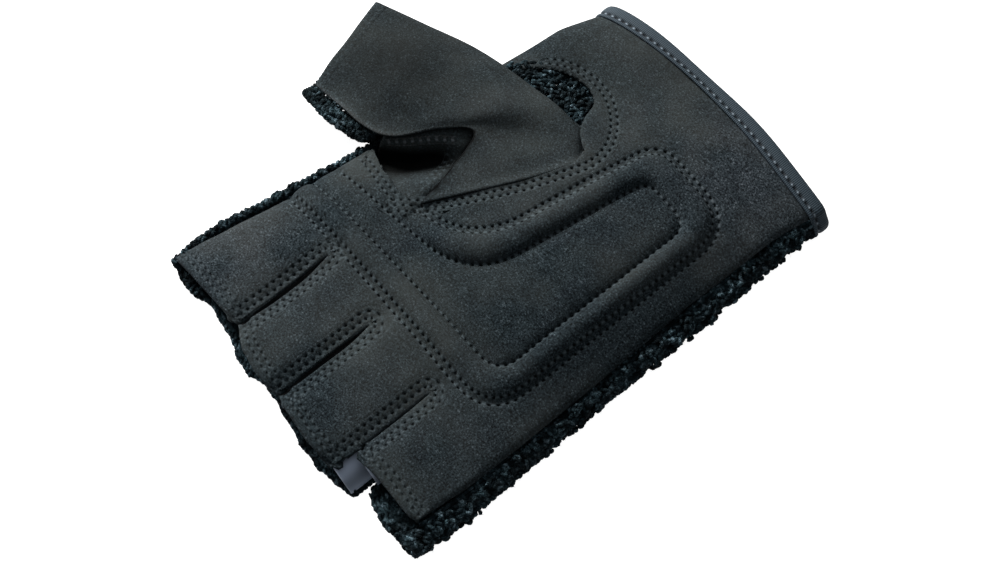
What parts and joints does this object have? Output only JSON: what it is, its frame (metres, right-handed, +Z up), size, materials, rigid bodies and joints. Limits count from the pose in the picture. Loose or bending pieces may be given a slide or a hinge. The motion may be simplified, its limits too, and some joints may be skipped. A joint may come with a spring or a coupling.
{
  "type": "cycling glove",
  "caption": "Fingerless cycling glove lying palm up: suede palm with a raised padded ring, slit finger stubs, thumb, crochet net back and taped cuff.",
  "frame": {"origin": "middle of the palm, on the surface that the glove's flattened back lies on", "axes": "+Y from the cuff towards the fingers, +X towards the thumb, +Z up through the palm"},
  "size_m": [0.1408, 0.1573, 0.0201],
  "materials": {
    "palm_suede": "napped synthetic suede, matt",
    "back_crochet": "thick fuzzy crochet net",
    "thumb_suede": "napped synthetic suede, matt",
    "thumb_crochet": "thick fuzzy crochet net",
    "thumb_gusset": "napped synthetic suede, matt",
    "fourchette_index_middle": "smooth stretch knit",
    "fourchette_middle_ring": "smooth stretch knit",
    "fourchette_ring_little": "smooth stretch knit",
    "wrist_binding": "ribbed elastic tape"
  },
  "bodies": {
    "root": {"palm_suede": "palm_suede", "back_crochet": "back_crochet", "thumb_suede": "thumb_suede", "thumb_crochet": "thumb_crochet", "thumb_gusset": "thumb_gusset", "fourchette_index_middle": "fourchette_index_middle", "fourchette_middle_ring": "fourchette_middle_ring", "fourchette_ring_little": "fourchette_ring_little", "wrist_binding": "wrist_binding"}
  },
  "joints": []
}
